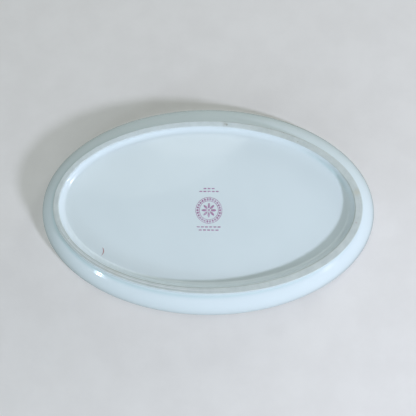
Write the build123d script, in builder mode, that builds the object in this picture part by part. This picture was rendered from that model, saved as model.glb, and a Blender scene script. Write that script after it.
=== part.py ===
"""Oval serving platter in glazed bone china, standing on its foot ring.

Millimetres. +X runs along the platter, +Z up through the eating side. The origin
is the middle of the plane that the foot ring stands on.

The clay is a dish with a foot ring joined under it. One coat of glaze covers the
eating side, the lip and the outside, and another covers the base inside the foot
ring. The edge that the foot ring stands on is bare. Every wall is lofted through
ovals, each given by its height and its inset: how far its two half axes fall short
of the rim's.
"""

from build123d import *
from math import asin, cos, hypot, radians, sin, sqrt
import os

# Overall size, over the glaze
LENGTH = 236.0
WIDTH = 147.0
HEIGHT = 21.2

# Glaze
GLAZE = 0.3
BARE_EDGE = 0.8  # height that the glaze stops at, above the foot ring's standing edge

# Eating side
LIP_WIDTH = 2.5
LIP_RADIUS = 0.95
WELL_FLOOR = 8.2
WELL_REACH = 24.0  # from the lip's inner edge to where the floor of the well is flat

# Outside wall, a convex arc from the foot ring's shoulder up to the lip
SHOULDER_INSET = 13.4
WALL_TURN = 54.0  # degrees that the arc turns through
LIP_OVERHANG = 0.3  # how far the arc's top would pass the rim if the lip weren't rounded

# Foot ring
FOOT_INSET = 14.9
FOOT_BAND = 4.7
FOOT_RADIUS = 0.55
RECESS_DEPTH = 5.0
COVE = 3.2  # how far the recess narrows between the standing edge and the base
COVE_END = 78.0  # degrees of the cove's quarter turn before the flat base cuts it off

# Printed mark on the base: a beaded ring, a rosette inside it and rows of dashes
INK = 0.1
MARK_PLACE = (2.6, 3.0)
RING_RADIUS = 9.0
INNER_RING_RADIUS = 6.6
RING_LINE = 0.35
BEAD_RADIUS = 0.72
BEAD_COUNT = 26
EYE_RADIUS = 0.8
PETAL_START = 1.3
PETAL_LENGTH = 3.6
PETAL_WIDTH = 1.5
PETAL_COUNT = 8
DASH_LENGTH = 2.1
DASH_WIDTH = 0.8
DASH_CORNER = 0.3
DASH_PITCH = 2.8
DASH_ROWS = {14.9: 3, 12.9: 5, -11.3: 6, -13.4: 5}  # distance from the ring's middle: dashes

# Painter's tick, a curved brush stroke near one end of the base
TICK_PLACE = (-68.9, 31.6)
TICK_LEAN = 6.0  # degrees
TICK_LENGTH = 5.4
TICK_BOW = 1.0
TICK_WIDTH = 0.9

STATIONS = 9  # ovals in each loft

clay_base = RECESS_DEPTH + GLAZE  # underside of the clay dish, and top of the foot ring


def oval(inset, height):
    """One oval section."""
    with BuildSketch(Plane.XY.offset(height)) as section:
        Ellipse(LENGTH / 2 - inset, WIDTH / 2 - inset)
    return section.sketch


def steps(first, last):
    """Evenly spaced values from first to last, one for each oval of a loft."""
    return [first + (last - first) * k / (STATIONS - 1) for k in range(STATIONS)]


def wall(under):
    """Loft the outside wall, at a depth under the glaze's surface."""
    run = SHOULDER_INSET + LIP_OVERHANG
    rise = HEIGHT - clay_base
    chord = hypot(run, rise)
    radius = chord / 2 / sin(radians(WALL_TURN / 2))
    chord_to_centre = sqrt(radius**2 - (chord / 2) ** 2)
    centre_inset = run / 2 - LIP_OVERHANG + chord_to_centre * rise / chord
    centre_height = clay_base + rise / 2 + chord_to_centre * run / chord
    reach = radius - under
    low = asin((centre_height - clay_base) / reach)
    high = asin((centre_height - HEIGHT + under) / reach)
    ovals = [
        oval(centre_inset - reach * cos(angle), centre_height - reach * sin(angle))
        for angle in steps(low, high)
    ]
    loft(ovals)


def well(under):
    """Cut the eating side's hollow, a quarter ellipse from the lip down to the floor."""
    lip_inset = LIP_WIDTH - under
    depth = HEIGHT - WELL_FLOOR
    ovals = [
        oval(lip_inset + WELL_REACH * (1 - cos(angle)), HEIGHT - under - depth * sin(angle))
        for angle in steps(0, radians(90))
    ]
    loft(ovals, mode=Mode.SUBTRACT)


def dish(blank, under):
    """Make the dish above the foot ring, with its lip rounded, inside a part named blank."""
    wall(under)
    well(under)
    fillet(blank.faces().sort_by(Axis.Z)[-1].edges(), LIP_RADIUS - under)


def foot_side(under, bottom, mode=Mode.ADD):
    """Loft the foot ring's outer side, which flares out to meet the wall."""
    flare = FOOT_INSET - SHOULDER_INSET
    ovals = [
        oval(FOOT_INSET + under - flare * (height / clay_base) ** 3, height)
        for height in steps(bottom, clay_base)
    ]
    loft(ovals, mode=mode)


def recess(under, bottom, mode=Mode.ADD):
    """Loft the hollow inside the foot ring, which narrows in a cove up to the base."""
    edge_inset = FOOT_INSET + FOOT_BAND - under
    end = radians(COVE_END)
    scale = (RECESS_DEPTH + under) / sin(end)
    ovals = [
        oval(edge_inset + COVE * (1 - cos(angle)), scale * sin(angle))
        for angle in steps(asin(bottom / scale), end)
    ]
    loft(ovals, mode=mode)


with BuildPart() as china_body:
    dish(china_body, GLAZE)

with BuildPart() as foot_ring:
    foot_side(GLAZE, 0)
    recess(GLAZE, 0, mode=Mode.SUBTRACT)
    fillet(foot_ring.faces().sort_by(Axis.Z)[0].edges(), FOOT_RADIUS)

with BuildPart() as glaze_coat:
    dish(glaze_coat, 0)
    foot_side(0, BARE_EDGE)
    foot_side(GLAZE, BARE_EDGE, mode=Mode.SUBTRACT)
    add(china_body.part, mode=Mode.SUBTRACT)

with BuildPart() as glaze_base:
    recess(GLAZE, BARE_EDGE)
    recess(0, BARE_EDGE, mode=Mode.SUBTRACT)

mark_plane = Plane(origin=(*MARK_PLACE, RECESS_DEPTH), x_dir=(1, 0, 0), z_dir=(0, 0, -1))

with BuildPart() as mark_ring:
    with BuildSketch(mark_plane):
        for radius in (RING_RADIUS, INNER_RING_RADIUS):
            Circle(radius)
            Circle(radius - RING_LINE, mode=Mode.SUBTRACT)
        with PolarLocations((RING_RADIUS - RING_LINE + INNER_RING_RADIUS) / 2, BEAD_COUNT):
            Circle(BEAD_RADIUS)
    extrude(amount=INK)

with BuildPart() as mark_rosette:
    with BuildSketch(mark_plane):
        Circle(EYE_RADIUS)
        with PolarLocations(PETAL_START + PETAL_LENGTH / 2, PETAL_COUNT):
            Ellipse(PETAL_LENGTH / 2, PETAL_WIDTH / 2)
    extrude(amount=INK)

with BuildPart() as mark_dashes:
    with BuildSketch(mark_plane):
        for distance, count in DASH_ROWS.items():
            with Locations((0, distance)):
                with GridLocations(DASH_PITCH, DASH_PITCH, count, 1):
                    RectangleRounded(DASH_LENGTH, DASH_WIDTH, DASH_CORNER)
    extrude(amount=INK)

with BuildPart() as painter_tick:
    lean = radians(TICK_LEAN)
    with BuildSketch(
        Plane(
            origin=(*TICK_PLACE, RECESS_DEPTH),
            x_dir=(cos(lean), sin(lean), 0),
            z_dir=(0, 0, -1),
        )
    ):
        with BuildLine():
            for bow in (TICK_BOW + TICK_WIDTH / 2, TICK_BOW - TICK_WIDTH / 2):
                ThreePointArc((0, TICK_LENGTH / 2), (bow, 0), (0, -TICK_LENGTH / 2))
        make_face()
    extrude(amount=INK)

pieces = {
    "china_body": china_body,
    "foot_ring": foot_ring,
    "glaze_coat": glaze_coat,
    "glaze_base": glaze_base,
    "mark_ring": mark_ring,
    "mark_rosette": mark_rosette,
    "mark_dashes": mark_dashes,
    "painter_tick": painter_tick,
}

os.makedirs("parts", exist_ok=True)
for name, piece in pieces.items():
    piece.part.label = name
    export_step(piece.part, f"parts/{name}.step")
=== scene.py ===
import random
from math import asin, atan2, cos, exp, hypot, pi, radians, sin, sqrt, tau

import bmesh
import bpy
from mathutils import Matrix, Vector, noise


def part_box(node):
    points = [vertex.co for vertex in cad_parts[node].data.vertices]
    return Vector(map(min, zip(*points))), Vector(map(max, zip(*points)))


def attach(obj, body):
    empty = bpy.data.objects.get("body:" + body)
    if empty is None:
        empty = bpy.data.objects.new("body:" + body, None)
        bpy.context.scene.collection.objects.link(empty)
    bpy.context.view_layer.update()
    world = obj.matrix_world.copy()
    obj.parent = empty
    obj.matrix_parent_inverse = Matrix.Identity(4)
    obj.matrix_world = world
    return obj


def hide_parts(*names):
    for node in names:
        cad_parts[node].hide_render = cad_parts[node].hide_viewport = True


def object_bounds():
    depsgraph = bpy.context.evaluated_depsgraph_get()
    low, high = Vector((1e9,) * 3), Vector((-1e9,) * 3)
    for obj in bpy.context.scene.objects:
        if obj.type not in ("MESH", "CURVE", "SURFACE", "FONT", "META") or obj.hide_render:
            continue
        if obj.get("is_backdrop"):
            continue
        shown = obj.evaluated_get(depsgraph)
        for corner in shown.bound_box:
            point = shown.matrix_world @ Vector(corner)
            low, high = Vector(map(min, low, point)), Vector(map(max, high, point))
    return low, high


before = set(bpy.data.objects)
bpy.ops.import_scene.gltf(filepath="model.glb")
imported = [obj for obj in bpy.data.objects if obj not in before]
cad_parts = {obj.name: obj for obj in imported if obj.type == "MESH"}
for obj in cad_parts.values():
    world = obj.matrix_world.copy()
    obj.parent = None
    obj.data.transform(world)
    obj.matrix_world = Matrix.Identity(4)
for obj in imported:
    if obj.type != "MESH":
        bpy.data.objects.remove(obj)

# The oval bone china platter, in metres, in the frame of its CAD model: it stands on
# its foot ring at z = 0. The camera sees it from below, as when it lies face down.
#
# An outline is a list of (inset, height) points. A ring at such a point is an oval
# whose half axes fall short of the rim's by the inset.

MM = 0.001
cad_low, cad_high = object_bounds()
HALF_LENGTH = cad_high.x
HALF_WIDTH = cad_high.y
HEIGHT = cad_high.z
CLAY_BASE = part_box("china_body")[0].z
BARE_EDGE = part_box("glaze_base")[0].z
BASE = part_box("mark_ring")[1].z

# The dish's section
GLAZE = 0.3 * MM
LIP_WIDTH = 2.5 * MM
LIP_RADIUS = 0.95 * MM
LIP_OVERHANG = 0.3 * MM
WELL_FLOOR = 8.2 * MM
WELL_REACH = 24.0 * MM
SHOULDER_INSET = 13.4 * MM
WALL_TURN = radians(54)
FOOT_INSET = 14.9 * MM
FOOT_BAND = 4.7 * MM
FOOT_RADIUS = 0.55 * MM
COVE = 3.2 * MM
BODY_BEVEL = 0.3 * MM  # how far the clay dish's underside stops short of its wall
GLAZE_EDGE = 0.9  # depth of the glaze's thin edge, as a share of the glaze

# How far the real dish strays from true: its rim warps, the flat ground on its foot ring
# is wider at the +X end, and its glaze ripples
WARP = 0.3 * MM
GROUND = 0.82 * MM
GROUND_TWIST = 0.45 * MM
RIPPLE = 0.02 * MM
RIPPLE_SPACING = 22 * MM

# Where the glaze is tinted darker by pooled glaze and painted shade: in the groove above the foot ring,
# and in the cove inside it.
# Each is its reach along the outline, the side of the ring that has the most of it, and how narrowly it
# keeps to that side.
# Pooled glaze with painted shade in the groove above the foot ring, strongest on the -X, +Y side
SHOULDER_POOL_AND_SHADE = (1.6 * MM, radians(125), 1)
# Painted shade where the foot ring's shadow falls in the cove on the +X, -Y side, with pooled glaze
COVE_POOL_AND_SHADE = (1.5 * MM, radians(-27), 45)

# Mesh density
AROUND = 384
WALL_STEPS = 22
ARC_STEPS = 7
WELL_STEPS = 34
FLAT_STEPS = 26
FOOT_STEPS = 10
COVE_STEPS = 21
FOOT_CROWDING = 1.6  # powers that crowd an outline's points towards the bare edge
COVE_CROWDING = 1.5

# Print
INK = 0.06 * MM
INK_ROUND = 0.02 * MM
RING_RADIUS = 9.0 * MM
INNER_RING_RADIUS = 6.6 * MM
RING_LINE = 0.35 * MM
BEAD_RADIUS = 0.72 * MM
BEAD_COUNT = 26
EYE_RADIUS = 0.8 * MM
PETAL_START = 1.3 * MM
PETAL_LENGTH = 3.6 * MM
PETAL_WIDTH = 1.5 * MM
PETAL_COUNT = 8
DASH_LENGTH = 2.1 * MM
DASH_WIDTH = 0.8 * MM
DASH_PITCH = 2.8 * MM
DASH_ROWS = {14.9 * MM: 3, 12.9 * MM: 5, -11.3 * MM: 6, -13.4 * MM: 5}
TICK_BOW = 1.0 * MM
TICK_HALF_WIDTH = 0.324 * MM
TICK_TIP = 0.03 * MM  # half width added all along, so that the tips aren't points
TICK_LEAN = radians(6)

# Camera. TILT, PAN and ROLL are how the upturned dish is turned as the camera sees it. The
# camera is DISTANCE back from the middle of the rim, and AIM to the right of it and above it.
LENS = 36
SENSOR = 36
TILT = radians(-8.19)
PAN = radians(-2.0)
ROLL = radians(-0.74)
DISTANCE = 1.257 * 2 * HALF_LENGTH
AIM = (1.43 * MM, 0.76 * MM)
RIM_HEIGHT = 20.5 * MM  # of the dish's widest line
CLIP_START = 0.01

# Light. The dish's underside is lit, so most lamps are below the floor plane. A lamp is its
# azimuth, elevation, distance, diameter, power and colour. The fill lamps don't show in the
# glaze.
SKY_COLOUR = (0.84, 0.98, 0.94)
SKY_STRENGTH = 0.26
BACKDROP = (0.56, 0.57, 0.57)  # what the camera sees of the sky
FADE = (0.2, 1.6)  # distances between which the floor fades into the backdrop
FLOOR_RADIUS = 5
FLOOR_SEGMENTS = 96
LAMPS = {
    "key": (35, -28, 1.0, 0.12, 6.5, (0.76, 0.83, 1.0)),
    "kicker": (134, -18, 0.8, 0.02, 0.36, (0.65, 0.82, 1.0)),
    "glint": (42, -17, 0.8, 0.08, 0.05, (0.90, 0.95, 1.0)),
    "soft_behind": (246, -55, 1.3, 1.05, 2.1, (0.92, 0.98, 1.0)),
    "soft_inner": (262, -57, 1.3, 0.75, 1.5, (0.92, 0.98, 1.0)),
    "soft_above": (250, 83, 1.3, 0.5, 1.0, (0.92, 0.98, 1.0)),
}
FILL_LAMPS = {
    "fill_front": (100, -24, 1.3, 1.0, 3.8, (0.82, 0.91, 1.0)),
    "fill_side": (308, -12, 1.3, 0.4, 4.1, (0.90, 0.98, 1.0)),
    "fill_left": (130, -20, 1.3, 0.5, 1.5, (0.66, 0.84, 1.0)),
    "fill_cove": (50, -12, 1.3, 0.5, 1.2, (0.80, 0.91, 1.0)),
    "fill_above": (240, 60, 1.3, 0.8, 11.0, (0.90, 0.98, 1.0)),
}

# Colours. Where there are two, the surface wanders between them.
GLAZE_WHITES = ((0.755, 0.808, 0.828, 1), (0.775, 0.828, 0.848, 1))
# Glaze tinted darker by pooled glaze and by painted shade
GLAZE_POOLED_AND_SHADED = (0.50, 0.66, 0.68, 1)
GLAZE_SPECK = (0.25, 0.21, 0.17, 1)
WORN_CHINA = ((0.57, 0.60, 0.58, 1), (0.65, 0.675, 0.65, 1))
CLEAN_CHINA = ((0.68, 0.72, 0.72, 1), (0.75, 0.79, 0.80, 1))
FINE_LINE = (0.46, 0.47, 0.44, 1)
DARK_LINE = (0.36, 0.40, 0.39, 1)
LIGHT_LINE = (0.78, 0.76, 0.76, 1)
# Colour of the dark line along the glaze's edge on the foot ring
EDGE_DARK_LINE = (0.30, 0.25, 0.20, 1)
FAINT_STAIN = (0.55, 0.47, 0.33, 1)
GRIT = (0.25, 0.22, 0.19, 1)
MARK_INK = ((0.44, 0.22, 0.37, 1), (0.65, 0.56, 0.67, 1))  # full and starved
TICK_INK = ((0.50, 0.24, 0.24, 1), (0.66, 0.56, 0.57, 1))
PAPER = ((0.80, 0.74, 0.71, 1), (0.83, 0.77, 0.74, 1))

# Stains on the bare edge: each has a place, a reach, a strength and a colour
STAINS = (
    ((13.0 * MM, -55.9 * MM), 3.4 * MM, 0.45, (0.36, 0.33, 0.27, 1)),
    ((14.3 * MM, -55.4 * MM), 1.3 * MM, 0.6, (0.26, 0.23, 0.18, 1)),
    ((98.9 * MM, 11.0 * MM), 1.2 * MM, 0.45, (0.40, 0.30, 0.26, 1)),
    ((100.4 * MM, -9.0 * MM), 5.0 * MM, 0.4, (0.58, 0.50, 0.35, 1)),
)


# ---------------------------------------------------------------- outlines


def between(first, last, share):
    """The value a share of the way from first to last."""
    return first + (last - first) * share


def round_corner(before, corner, after, radius):
    """Points of the arc that rounds a corner of an outline."""
    back = (before - corner).normalized()
    ahead = (after - corner).normalized()
    reach = radius / sin(back.angle(ahead) / 2)
    centre = corner + (back + ahead).normalized() * reach
    tangent = sqrt(reach**2 - radius**2)
    start = corner + back * tangent - centre
    end = corner + ahead * tangent - centre
    first = atan2(start.y, start.x)
    turn = (atan2(end.y, end.x) - first + pi) % tau - pi
    angles = [first + turn * k / ARC_STEPS for k in range(ARC_STEPS + 1)]
    return [centre + Vector((cos(a), sin(a))) * radius for a in angles]


def wall_outline():
    """The outside wall from the shoulder up to the top of the lip: a convex arc."""
    run = SHOULDER_INSET + LIP_OVERHANG
    rise = HEIGHT - CLAY_BASE
    chord = hypot(run, rise)
    radius = chord / 2 / sin(WALL_TURN / 2)
    to_centre = sqrt(radius**2 - (chord / 2) ** 2)
    centre = Vector((
        run / 2 - LIP_OVERHANG + to_centre * rise / chord,
        CLAY_BASE + rise / 2 + to_centre * run / chord,
    ))
    low = asin((centre.y - CLAY_BASE) / radius)
    high = asin((centre.y - HEIGHT) / radius)
    angles = [between(low, high, k / WALL_STEPS) for k in range(WALL_STEPS + 1)]
    return [centre - Vector((cos(a), sin(a))) * radius for a in angles]


def well_outline():
    """The eating side from the lip's inner edge down to the floor: a quarter ellipse."""
    depth = HEIGHT - WELL_FLOOR
    angles = [pi / 2 * k / WELL_STEPS for k in range(WELL_STEPS + 1)]
    return [Vector((LIP_WIDTH + WELL_REACH * (1 - cos(a)), HEIGHT - depth * sin(a))) for a in angles]


def foot_side_outline():
    """The foot ring's outer side from the bare edge up to the shoulder."""
    flare = FOOT_INSET - SHOULDER_INSET
    shares = [(k / FOOT_STEPS) ** FOOT_CROWDING for k in range(FOOT_STEPS + 1)]
    heights = [between(BARE_EDGE, CLAY_BASE, share) for share in shares]
    return [Vector((FOOT_INSET - flare * (h / CLAY_BASE) ** 3, h)) for h in heights]


def cove_outline():
    """The recess from the edge of the flat base down to the bare edge: a quarter ellipse."""
    low = asin(BARE_EDGE / BASE)
    shares = [1 - (1 - k / COVE_STEPS) ** COVE_CROWDING for k in range(COVE_STEPS + 1)]
    angles = [between(pi / 2, low, share) for share in shares]
    return [Vector((FOOT_INSET + FOOT_BAND + COVE * (1 - cos(a)), BASE * sin(a))) for a in angles]


def soften(outline, passes):
    """Round an outline's creases by averaging each point with its neighbours."""
    for _ in range(passes):
        inner = [
            (before + here * 2 + after) / 4
            for before, here, after in zip(outline, outline[1:], outline[2:])
        ]
        outline = [outline[0], *inner, outline[-1]]
    return outline


def dish_outline():
    """The glazed surface from the bare edge outside, over the lip, to the floor of the well."""
    wall, well = wall_outline(), well_outline()
    lip_middle = (wall[-1] + well[0]) / 2
    outer_lip = round_corner(wall[-3], wall[-1], lip_middle, LIP_RADIUS)
    inner_lip = round_corner(lip_middle, well[0], well[0] - Vector((0, 1)), LIP_RADIUS)
    gap = MM / 4
    low_wall = [p for p in wall if p.y < outer_lip[0].y - gap]
    low_well = [p for p in well if p.y < inner_lip[-1].y - gap]
    outside = soften([*foot_side_outline()[:-1], *low_wall], passes=2)
    return [*outside, *outer_lip, *inner_lip, *low_well]


def beneath(outline, depth):
    """The same outline a depth below the surface, on the right as the outline runs."""
    moved = []
    for k, here in enumerate(outline):
        along = outline[min(k + 1, len(outline) - 1)] - outline[max(k - 1, 0)]
        moved.append(here + Vector((along.y, -along.x)).normalized() * depth)
    return moved


def feathered(outline, edge):
    """The same outline with the glaze thinned to nothing where it ends, at the point edge."""
    under = beneath(outline, GLAZE * GLAZE_EDGE)
    thinned = []
    for here, below in zip(outline, under):
        share = min((here - edge).length / (2 * GLAZE), 1)
        thinned.append(below + (here - below) * sqrt(1 - (1 - share) ** 2))
    return thinned


# ---------------------------------------------------------------- meshes


def warp(angle):
    """How the rim rises and falls: two waves around the oval, and three weaker ones."""
    return cos(2 * angle - 0.5) + 0.4 * cos(3 * angle + 1.0)


def place(point, angle, scale):
    """A point of an oval ring, with the dish's warp and its foot ring's uneven width. The warp
    grows steeply towards the rim, and the ground width wanders only on the ring's outer side."""
    inset, height = point
    low = max(0, 1 - height / CLAY_BASE)
    outer = min(1, max(0, (FOOT_INSET + FOOT_BAND - inset) / FOOT_BAND))
    inset -= low * outer * (GROUND * cos(angle) + GROUND_TWIST * sin(2 * angle + 0.8)) * scale
    x = scale * (HALF_LENGTH - inset) * cos(angle)
    y = scale * (HALF_WIDTH - inset) * sin(angle)
    out = scale * (1 - inset / HALF_WIDTH)
    lift = WARP * out**6 * warp(angle) * height / HEIGHT
    return Vector((x, y, height + lift))


def flat_rings(point, steps):
    """Rings from an outline's last point in to the middle, all at its height."""
    return [(point, 1 - k / steps) for k in range(1, steps + 1)]


def shell(name, rings, closed=False, pool_and_shade=lambda point, angle: 0.0):
    """A closed mesh over a list of (outline point, scale). A scale of 0 is a single point. Its
    vertices keep how much pooled glaze and painted shade darken the glaze there, and the inset in
    millimetres."""
    bm = bmesh.new()
    pool_and_shade_layer = bm.verts.layers.float.new("pool_and_shade")
    inset_layer = bm.verts.layers.float.new("inset")
    made = []
    for point, scale in rings:
        count = AROUND if scale else 1
        ring = [bm.verts.new(place(point, tau * k / AROUND, scale)) for k in range(count)]
        for k, vert in enumerate(ring):
            vert[pool_and_shade_layer] = pool_and_shade(point, tau * k / AROUND) if scale == 1 else 0.0
            vert[inset_layer] = point.x / MM
        made.append(ring)
    pairs = list(zip(made, made[1:]))
    if closed:
        pairs.append((made[-1], made[0]))
    for one, other in pairs:
        for k in range(AROUND):
            after = (k + 1) % AROUND
            corners = (
                one[k % len(one)],
                one[after % len(one)],
                other[after % len(other)],
                other[k % len(other)],
            )
            bm.faces.new(list(dict.fromkeys(corners)))
    bmesh.ops.recalc_face_normals(bm, faces=bm.faces)
    return finished(name, bm)


def finished(name, bm):
    """An object from a bmesh, smooth all over."""
    mesh = bpy.data.meshes.new(name)
    bm.to_mesh(mesh)
    bm.free()
    mesh.shade_smooth()
    made = bpy.data.objects.new(name, mesh)
    bpy.context.scene.collection.objects.link(made)
    return made


def ripple(piece, seed):
    """Move a glaze coat's surface in and out by a smooth noise."""
    shift = Vector((seed, seed * 2, seed * 3))
    normals = [v.normal.copy() for v in piece.data.vertices]
    for vert, normal in zip(piece.data.vertices, normals):
        vert.co += normal * RIPPLE * noise.noise(vert.co / RIPPLE_SPACING + shift)


def pool_and_shade_at(spot, reach, side, narrowness):
    """How much pooled glaze and painted shade darken the glaze by a spot of an outline and on one side of
    the ring: a function of the outline's point and the angle, 1 at the most."""

    def pool_and_shade(point, angle):
        by_spot = exp(-(((point - spot).length / reach) ** 2))
        by_side = (0.5 + 0.5 * cos(angle - side)) ** narrowness
        return by_spot * by_side

    return pool_and_shade


def make_dish():
    """The clay dish, its foot ring and the two coats of glaze."""
    outside = dish_outline()
    clay = beneath(outside, GLAZE)
    coat = feathered(outside, outside[0])
    recess = cove_outline()
    recess_clay = beneath(recess, GLAZE)
    base_coat = feathered(recess, recess[-1])
    shoulder = outside[FOOT_STEPS]
    cove_middle = recess[COVE_STEPS // 3]

    coat_rings = [
        *reversed(flat_rings(outside[-1], FLAT_STEPS)),
        *((p, 1) for p in reversed(coat)),
        *((p, 1) for p in clay),
        *flat_rings(clay[-1], FLAT_STEPS),
    ]
    # The glaze coat darkens in the groove above the foot ring with pooled glaze and painted shade
    glaze_coat = shell("glaze_coat_skin", coat_rings, pool_and_shade=pool_and_shade_at(shoulder, *SHOULDER_POOL_AND_SHADE))

    base_rings = [
        *reversed(flat_rings(recess[0], FLAT_STEPS)),
        *((p, 1) for p in base_coat),
        *((p, 1) for p in reversed(recess_clay)),
        *flat_rings(recess_clay[0], FLAT_STEPS),
    ]
    # The base coat darkens in the cove with painted shade where the foot ring's shadow falls, and with
    # pooled glaze
    glaze_base = shell("glaze_base_skin", base_rings, pool_and_shade=pool_and_shade_at(cove_middle, *COVE_POOL_AND_SHADE))

    body_clay = [p for p in clay[FOOT_STEPS:] if p.y > CLAY_BASE]
    body_start = Vector((body_clay[0].x + BODY_BEVEL, CLAY_BASE))
    body_rings = [
        *reversed(flat_rings(body_start, FLAT_STEPS)),
        (body_start, 1),
        *((p, 1) for p in body_clay),
        *flat_rings(body_clay[-1], FLAT_STEPS),
    ]
    china_body = shell("china_body_clay", body_rings)

    side = [p for p in clay[:FOOT_STEPS] if p.y < CLAY_BASE]
    inner_side = [p for p in recess_clay if p.y < CLAY_BASE]
    outer_corner = Vector((side[0].x, 0))
    inner_corner = Vector((inner_side[-1].x, 0))
    middle = (outer_corner + inner_corner) / 2
    band = [between(outer_corner, inner_corner, tenths / 10) for tenths in range(3, 8)]
    ring_outline = [
        *reversed(side),
        *round_corner(side[0], outer_corner, middle, FOOT_RADIUS),
        *band,
        *round_corner(middle, inner_corner, inner_side[-1], FOOT_RADIUS),
        *reversed(inner_side),
    ]
    foot_ring = shell("foot_ring_clay", [(p, 1) for p in ring_outline], closed=True)

    ripple(glaze_coat, seed=3.1)
    ripple(glaze_base, seed=7.7)
    return china_body, foot_ring, glaze_coat, glaze_base


def film(name, centre, pieces, lean=0.0):
    """Thin films of ink on the base. Each piece is a pair of loops of (right, up) points, the
    second of which is the inside of a ring or None. Right and up are as seen from below."""
    bm = bmesh.new()
    turn = Matrix.Rotation(lean, 2)
    levels = ((0, 0), (0, INK - INK_ROUND), (INK_ROUND, INK))  # how far a loop is drawn in, and its depth
    for outer, inner in pieces:
        loops = [ink_loop(bm, turn, centre, outer, shrink, depth) for shrink, depth in levels]
        if inner:
            loops += [
                ink_loop(bm, turn, centre, inner, -shrink, depth) for shrink, depth in reversed(levels)
            ]
            loops.append(loops[0])
        for near_loop, far_loop in zip(loops, loops[1:]):
            for k in range(len(outer)):
                after = (k + 1) % len(outer)
                bm.faces.new((near_loop[k], near_loop[after], far_loop[after], far_loop[k]))
        if not inner:
            bm.faces.new(loops[0])
            bm.faces.new(loops[-1])
    bmesh.ops.recalc_face_normals(bm, faces=bm.faces)
    return finished(name, bm)


def ink_loop(bm, turn, centre, loop, shrink, depth):
    """Vertices of one loop of a film, drawn in by shrink, at a depth below the base."""
    middle = sum((Vector(p) for p in loop), Vector((0, 0))) / len(loop)
    made = []
    for point in loop:
        arm = Vector(point) - middle
        drawn = turn @ (middle + arm * (1 - shrink / max(arm.length, INK)))
        made.append(bm.verts.new((centre.x + drawn.x, centre.y - drawn.y, BASE - depth)))
    return made


def wobbly_oval(middle, half_along, half_across, heading, steps, wobble):
    """A closed loop around a small oval of ink, with an uneven edge."""
    along = Vector((cos(heading), sin(heading)))
    across = Vector((-sin(heading), cos(heading)))
    loop = []
    for k in range(steps):
        angle = tau * k / steps
        grow = 1 + random.uniform(-wobble, wobble)
        arm = along * half_along * cos(angle) + across * half_across * sin(angle)
        loop.append(middle + arm * grow)
    return loop


def wobbly_disc(middle, radius, steps, wobble):
    """A closed loop around a small disc of ink, with an uneven edge."""
    return wobbly_oval(middle, radius, radius, 0, steps, wobble)


def make_mark():
    """The generic printed mark: a beaded ring, a rosette and rows of dashes."""
    low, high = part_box("mark_ring")
    centre = (low + high) / 2
    random.seed(11)
    rings = [
        (
            wobbly_disc(Vector((0, 0)), radius, steps=120, wobble=0.006),
            wobbly_disc(Vector((0, 0)), radius - RING_LINE, steps=120, wobble=0.006),
        )
        for radius in (RING_RADIUS, INNER_RING_RADIUS)
    ]
    bead_circle = (RING_RADIUS - RING_LINE + INNER_RING_RADIUS) / 2
    beads = []
    for k in range(BEAD_COUNT):
        heading = tau * k / BEAD_COUNT
        middle = Vector((cos(heading), sin(heading))) * bead_circle
        beads.append((wobbly_disc(middle, BEAD_RADIUS, steps=18, wobble=0.1), None))
    ring = film("mark_ring_print", centre, [*rings, *beads])

    petals = [(wobbly_disc(Vector((0, 0)), EYE_RADIUS, steps=20, wobble=0.05), None)]
    for k in range(PETAL_COUNT):
        heading = tau * k / PETAL_COUNT
        middle = Vector((cos(heading), sin(heading))) * (PETAL_START + PETAL_LENGTH / 2)
        petal = wobbly_oval(middle, PETAL_LENGTH / 2, PETAL_WIDTH / 2, heading, steps=24, wobble=0.06)
        petals.append((petal, None))
    rosette = film("mark_rosette_print", centre, petals)

    dashes = []
    for height, count in DASH_ROWS.items():
        for k in range(count):
            middle = Vector(((k - (count - 1) / 2) * DASH_PITCH, height))
            dashes.append((wobbly_dash(middle), None))
    return ring, rosette, film("mark_dashes_print", centre, dashes)


def wobbly_dash(middle):
    """A closed loop around one dash: a squared oval with an uneven edge."""
    loop = []
    steps = 28
    for k in range(steps):
        angle = tau * k / steps
        across, up = cos(angle), sin(angle)
        square = (across**4 + up**4) ** 0.25
        grow = (1 + random.uniform(-0.07, 0.07)) / square
        loop.append(middle + Vector((across * DASH_LENGTH, up * DASH_WIDTH)) / 2 * grow)
    return loop


def make_tick():
    """The painter's tick: a curved brush stroke that starts full and tails off."""
    low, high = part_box("painter_tick")
    centre = (low + high) / 2
    half = (high.y - low.y) / 2
    random.seed(5)
    steps = 30
    left, right = [], []
    for k in range(steps + 1):
        share = k / steps
        up = half * (1 - 2 * share)
        bow = TICK_BOW * (1 - (2 * share - 1) ** 2) - TICK_BOW / 2
        fullness = sin(pi * share**0.8) ** 0.6
        reach = (TICK_HALF_WIDTH * fullness + TICK_TIP) * (1 + random.uniform(-0.08, 0.08))
        left.append(Vector((bow - reach, up)))
        right.append(Vector((bow + reach, up)))
    return film("painter_tick_stroke", centre, [([*left, *reversed(right)], None)], lean=-TICK_LEAN)


# ---------------------------------------------------------------- materials


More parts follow.
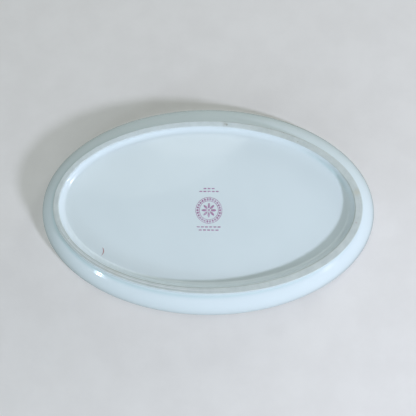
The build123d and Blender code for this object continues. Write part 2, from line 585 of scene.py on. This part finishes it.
class Look:
    """A material's node tree, with short ways to add and link nodes."""

    def __init__(self, name):
        self.material = bpy.data.materials.new(name)
        self.material.use_nodes = True
        self.tree = self.material.node_tree
        self.shader = self.tree.nodes["Principled BSDF"]
        self.where = self.add("TexCoord").outputs["Object"]

    def add(self, kind, inputs=(), **settings):
        """A new node, with its settings, and values or links for its inputs."""
        made = self.tree.nodes.new("ShaderNode" + kind)
        for name, value in settings.items():
            setattr(made, name, value)
        for name, value in dict(inputs).items():
            self.put(made.inputs[name], value)
        return made

    def put(self, socket, value):
        """Link a socket to another, or give it a value."""
        if isinstance(value, bpy.types.NodeSocket):
            self.tree.links.new(value, socket)
        else:
            socket.default_value = value

    def noise(self, scale, detail=3.0, roughness=0.5):
        """A noise from 0 to 1, scale features to the metre."""
        made = self.add("TexNoise", {
            "Vector": self.where,
            "Scale": scale,
            "Detail": detail,
            "Roughness": roughness,
        })
        return made.outputs["Fac"]

    def lines(self, inset, scale, detail):
        """A noise from 0 to 1 that changes only with the inset, scale features to the millimetre."""
        settings = {"W": inset, "Scale": scale, "Detail": detail}
        return self.add("TexNoise", settings, noise_dimensions="1D").outputs["Fac"]

    def distance(self, spot):
        """The distance from a spot, in metres."""
        return self.add("VectorMath", {0: self.where, 1: spot}, operation="DISTANCE").outputs["Value"]

    def ramp(self, value, low, high, to_low=0.0, to_high=1.0):
        """value mapped from low..high to to_low..to_high, and held there."""
        made = self.add("MapRange", {
            "Value": value,
            "From Min": low,
            "From Max": high,
            "To Min": to_low,
            "To Max": to_high,
        })
        made.interpolation_type = "SMOOTHSTEP"
        return made.outputs["Result"]

    def maths(self, operation, first, second):
        """One step of arithmetic on two values."""
        made = self.add("Math", operation=operation)
        self.put(made.inputs[0], first)
        self.put(made.inputs[1], second)
        return made.outputs["Value"]

    def product(self, *values):
        """The values multiplied together."""
        made = values[0]
        for value in values[1:]:
            made = self.maths("MULTIPLY", made, value)
        return made

    def mix(self, share, first, second):
        """A colour from first to second by share."""
        made = self.add("Mix", data_type="RGBA")
        self.put(made.inputs["Factor"], share)
        self.put(made.inputs["A"], first)
        self.put(made.inputs["B"], second)
        return made.outputs["Result"]

    def specks(self, per_metre, size, share, seed):
        """Small round specks, 1 inside one: a share of the cells holds one."""
        moved = self.add("Mapping", {"Vector": self.where, "Location": (seed, seed, seed)})
        cells = self.add("TexVoronoi", {"Vector": moved.outputs["Vector"], "Scale": per_metre})
        split = self.add("SeparateColor", {"Color": cells.outputs["Color"]})
        chosen = self.maths("LESS_THAN", split.outputs["Red"], share)
        radius = self.product(split.outputs["Green"], size * per_metre)
        inside = self.maths("LESS_THAN", cells.outputs["Distance"], radius)
        return self.product(inside, chosen)

    def bump(self, height, distance, strength, normal=None):
        """A normal bent by a height from 0 to 1, which stands for a distance in metres."""
        made = self.add("Bump", {"Height": height, "Distance": distance, "Strength": strength})
        if normal:
            self.put(made.inputs["Normal"], normal)
        return made.outputs["Normal"]


def glaze_look():
    """Clear gloss glaze over white china: faint tone changes, corners darkened by pooled glaze and
    painted shade, rare specks.
    """
    look = Look("china_glaze")
    tone = look.ramp(look.noise(scale=26), 0.3, 0.7)
    white = look.mix(tone, *GLAZE_WHITES)
    # Pooled glaze and painted shade: a darker teal in the groove above the foot ring and in the cove
    pool_and_shade = look.add("Attribute", attribute_name="pool_and_shade").outputs["Fac"]
    white = look.mix(look.product(pool_and_shade, 0.5), white, GLAZE_POOLED_AND_SHADED)
    specks = look.specks(per_metre=180, size=0.22 * MM, share=0.05, seed=0.37)
    look.put(look.shader.inputs["Base Color"], look.mix(look.product(specks, 0.5), white, GLAZE_SPECK))

    haze = look.ramp(look.noise(scale=90, detail=4, roughness=0.6), 0.35, 0.75, to_low=0.09, to_high=0.17)
    look.put(look.shader.inputs["Roughness"], haze)
    look.shader.inputs["IOR"].default_value = 1.52
    look.shader.inputs["Coat Weight"].default_value = 0.3
    look.shader.inputs["Coat Roughness"].default_value = 0.04

    waves = look.bump(look.noise(scale=70, detail=2, roughness=0.4), 0.08 * MM, strength=0.6)
    peel = look.bump(look.noise(scale=900, detail=2), 0.004 * MM, strength=0.5, normal=waves)
    look.put(look.shader.inputs["Normal"], peel)
    return look.material


def biscuit_look():
    """Bare china on the foot ring: grey beige, ground smooth in fine lines, a little stained."""
    look = Look("bare_biscuit")
    axes = look.add("SeparateXYZ", {"Vector": look.where})
    x, y = axes.outputs["X"], axes.outputs["Y"]
    inset = look.add("Attribute", attribute_name="inset").outputs["Fac"]

    # Clean along the -Y side as far as its middle, and worn elsewhere
    tone = look.ramp(look.noise(scale=160, detail=4, roughness=0.6), 0.3, 0.7)
    clean = look.mix(tone, *CLEAN_CHINA)
    worn = look.mix(tone, *WORN_CHINA)
    worn_side = look.ramp(y, -50 * MM, 10 * MM)
    worn_end = look.ramp(x, 0, 50 * MM)
    colour = look.mix(look.maths("MAXIMUM", worn_side, worn_end), clean, worn)

    # Lines that follow the ring, fine all round and coarse where it was turned by hand
    grooves = look.ramp(look.lines(inset, scale=4, detail=2), 0.35, 0.65)
    colour = look.mix(look.product(grooves, 0.2), colour, FINE_LINE)
    coarse = look.lines(inset, scale=1.3, detail=1)
    turned = look.product(look.ramp(y, 0, 35 * MM), look.ramp(x, 30 * MM, -30 * MM))
    dark = look.product(look.ramp(coarse, 0.50, 0.58), turned, 0.55)
    colour = look.mix(dark, colour, DARK_LINE)
    light = look.product(look.ramp(coarse, 0.50, 0.40), turned, 0.5)
    colour = look.mix(light, colour, LIGHT_LINE)

    # A dark line along the glaze's edge, between the -Y side and the +X end
    edge_inset = (FOOT_INSET + GLAZE) / MM
    edge = look.ramp(inset, edge_inset + 0.5, edge_inset)
    darkened_stretch = look.product(look.ramp(y, -10 * MM, -30 * MM), look.ramp(x, 0, 40 * MM))
    colour = look.mix(look.product(edge, darkened_stretch, look.noise(scale=120, detail=2)), colour, EDGE_DARK_LINE)

    stain = look.ramp(look.noise(scale=38, roughness=0.6), 0.58, 0.8, to_low=0, to_high=0.35)
    colour = look.mix(stain, colour, FAINT_STAIN)
    for spot, reach, strength, brown in STAINS:
        ragged = look.product(look.noise(scale=600), reach * 0.8)
        distance = look.maths("ADD", look.distance((*spot, 0)), ragged)
        mark = look.product(look.ramp(distance, reach * 1.2, reach * 0.3), strength)
        colour = look.mix(mark, colour, brown)
    grit = look.specks(per_metre=420, size=0.45 * MM, share=0.12, seed=1.9)
    colour = look.mix(look.product(grit, 0.55), colour, GRIT)
    look.put(look.shader.inputs["Base Color"], colour)

    matt = look.ramp(look.noise(scale=300), 0.3, 0.7, to_low=0.55, to_high=0.8)
    look.put(look.shader.inputs["Roughness"], matt)
    look.shader.inputs["Specular IOR Level"].default_value = 0.35
    cuts = look.bump(grooves, 0.03 * MM, strength=0.7)
    grain = look.bump(look.noise(scale=2600, roughness=0.6), 0.02 * MM, strength=0.6, normal=cuts)
    look.put(look.shader.inputs["Normal"], grain)
    return look.material


def ink_look(name, full, thin, share):
    """Fired ink: full colour where it took, and thin over a share of the print where it starved."""
    look = Look(name)
    starved = look.ramp(look.noise(scale=900, detail=4, roughness=0.65), 0.36, 0.60)
    patch = look.ramp(look.noise(scale=150, detail=2), 0.35, 0.7)
    thinned = look.product(starved, patch, share)
    look.put(look.shader.inputs["Base Color"], look.mix(thinned, full, thin))
    look.put(look.shader.inputs["Roughness"], look.ramp(thinned, 0, 1, to_low=0.3, to_high=0.16))
    grain = look.bump(look.noise(scale=1500, detail=2), 0.01 * MM, strength=0.5)
    look.put(look.shader.inputs["Normal"], grain)
    return look.material


def floor_look():
    """Pale paper that shows only the side it faces, so that a floor hides nothing behind it."""
    look = Look("pale_floor")
    tone = look.ramp(look.noise(scale=40, detail=4, roughness=0.6), 0.3, 0.7)
    look.put(look.shader.inputs["Base Color"], look.mix(tone, *PAPER))
    matt = look.ramp(look.noise(scale=400), 0.3, 0.7, to_low=0.8, to_high=0.95)
    look.put(look.shader.inputs["Roughness"], matt)
    look.put(look.shader.inputs["Normal"], look.bump(look.noise(scale=1800), 0.03 * MM, strength=0.4))

    # Far off, the paper fades into the backdrop
    faded = look.add("MixShader")
    look.put(faded.inputs[0], look.ramp(look.distance((0, 0, 0)), *FADE))
    look.put(faded.inputs[1], look.shader.outputs["BSDF"])
    look.put(faded.inputs[2], look.add("Emission", {"Color": (*BACKDROP, 1)}).outputs["Emission"])

    shown = look.add("MixShader")
    look.put(shown.inputs[0], look.add("NewGeometry").outputs["Backfacing"])
    look.put(shown.inputs[1], faded.outputs[0])
    look.put(shown.inputs[2], look.add("BsdfTransparent").outputs["BSDF"])
    look.put(look.tree.nodes["Material Output"].inputs["Surface"], shown.outputs[0])
    return look.material


# ---------------------------------------------------------------- stage


def floor(name, height, facing):
    """A wide disc that faces up (1) or down (-1). Only the camera sees it: it takes shadows, but
    casts none and reflects in nothing."""
    bm = bmesh.new()
    bmesh.ops.create_circle(bm, cap_ends=True, segments=FLOOR_SEGMENTS, radius=FLOOR_RADIUS)
    made = finished(name, bm)
    made.data.transform(Matrix.Translation((0, 0, height)) @ Matrix.Diagonal((1, facing, facing, 1)))
    for way in ("diffuse", "glossy", "transmission", "shadow", "volume_scatter"):
        setattr(made, "visible_" + way, False)
    return made


def lamp(name, azimuth, elevation, distance, size, watts, colour):
    """A round lamp aimed at the origin. Azimuth turns from +X to +Y. Both angles are in degrees."""
    data = bpy.data.lights.new(name, "AREA")
    data.shape = "DISK"
    data.size = size
    data.energy = watts
    data.color = colour
    made = bpy.data.objects.new(name, data)
    bpy.context.scene.collection.objects.link(made)
    turn, lift = radians(azimuth), radians(elevation)
    made.location = Vector((cos(lift) * cos(turn), cos(lift) * sin(turn), sin(lift))) * distance
    made.rotation_mode = "QUATERNION"
    made.rotation_quaternion = (-made.location).to_track_quat("-Z", "Y")
    return made


def make_camera():
    """The camera below the dish. The dish is turned over: its right stays right, and up in the
    picture is -Y."""
    data = bpy.data.cameras.new("camera")
    data.lens = LENS
    data.sensor_width = SENSOR
    made = bpy.data.objects.new("camera", data)
    bpy.context.scene.collection.objects.link(made)
    turned = (
        Matrix.Rotation(pi, 3, "X")
        @ Matrix.Rotation(-ROLL, 3, "Z")
        @ Matrix.Rotation(-PAN, 3, "Y")
        @ Matrix.Rotation(-TILT, 3, "X")
    )
    made.rotation_mode = "QUATERNION"
    made.rotation_quaternion = turned.to_quaternion()
    made.location = Vector((0, 0, RIM_HEIGHT)) + turned @ Vector((*AIM, DISTANCE))
    data.clip_start = CLIP_START
    bpy.context.scene.camera = made


def make_light():
    """The lamps, and a sky that lights the dish but shows to the camera as the plain backdrop."""
    world = bpy.data.worlds.new("studio")
    world.use_nodes = True
    nodes, links = world.node_tree.nodes, world.node_tree.links
    sky = nodes["Background"]
    sky.inputs["Color"].default_value = (*SKY_COLOUR, 1)
    sky.inputs["Strength"].default_value = SKY_STRENGTH
    backdrop = nodes.new("ShaderNodeBackground")
    backdrop.inputs["Color"].default_value = (*BACKDROP, 1)
    seen = nodes.new("ShaderNodeMixShader")
    links.new(nodes.new("ShaderNodeLightPath").outputs["Is Camera Ray"], seen.inputs[0])
    links.new(sky.outputs[0], seen.inputs[1])
    links.new(backdrop.outputs[0], seen.inputs[2])
    links.new(seen.outputs[0], nodes["World Output"].inputs["Surface"])
    bpy.context.scene.world = world
    for name, settings in LAMPS.items():
        lamp(name, *settings)
    for name, settings in FILL_LAMPS.items():
        lamp(name, *settings).visible_glossy = False


make_camera()
make_light()

clay, bare_ring, coat, base_coat = make_dish()
mark_ring, mark_rosette, mark_dashes = make_mark()
tick = make_tick()

glaze = glaze_look()
biscuit = biscuit_look()
mark_ink = ink_look("mark_ink", *MARK_INK, share=0.85)
tick_ink = ink_look("tick_ink", *TICK_INK, share=0.9)

pieces = (
    (clay, "china_body", "biscuit", biscuit),
    (bare_ring, "foot_ring", "biscuit", biscuit),
    (coat, "glaze_coat", "glaze", glaze),
    (base_coat, "glaze_base", "glaze", glaze),
    (mark_ring, "mark_ring", "mark_ink", mark_ink),
    (mark_rosette, "mark_rosette", "mark_ink", mark_ink),
    (mark_dashes, "mark_dashes", "mark_ink", mark_ink),
    (tick, "painter_tick", "tick_ink", tick_ink),
)
for piece, node, slot, material in pieces:
    piece.data.materials.append(material)
    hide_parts(node)
    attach(piece, "root")

# The dish stands on one floor, and lies face down on the other, which the camera sees
paper = floor_look()
for name, height, facing in (("floor_upright", 0, 1), ("floor_face_down", HEIGHT, -1)):
    sheet = floor(name, height, facing)
    sheet.data.materials.append(paper)
    sheet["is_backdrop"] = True

bpy.context.scene.view_settings.view_transform = "Standard"

{"cad": [list(v) for v in (cad_low, cad_high)], "visual": [list(v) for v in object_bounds()]}
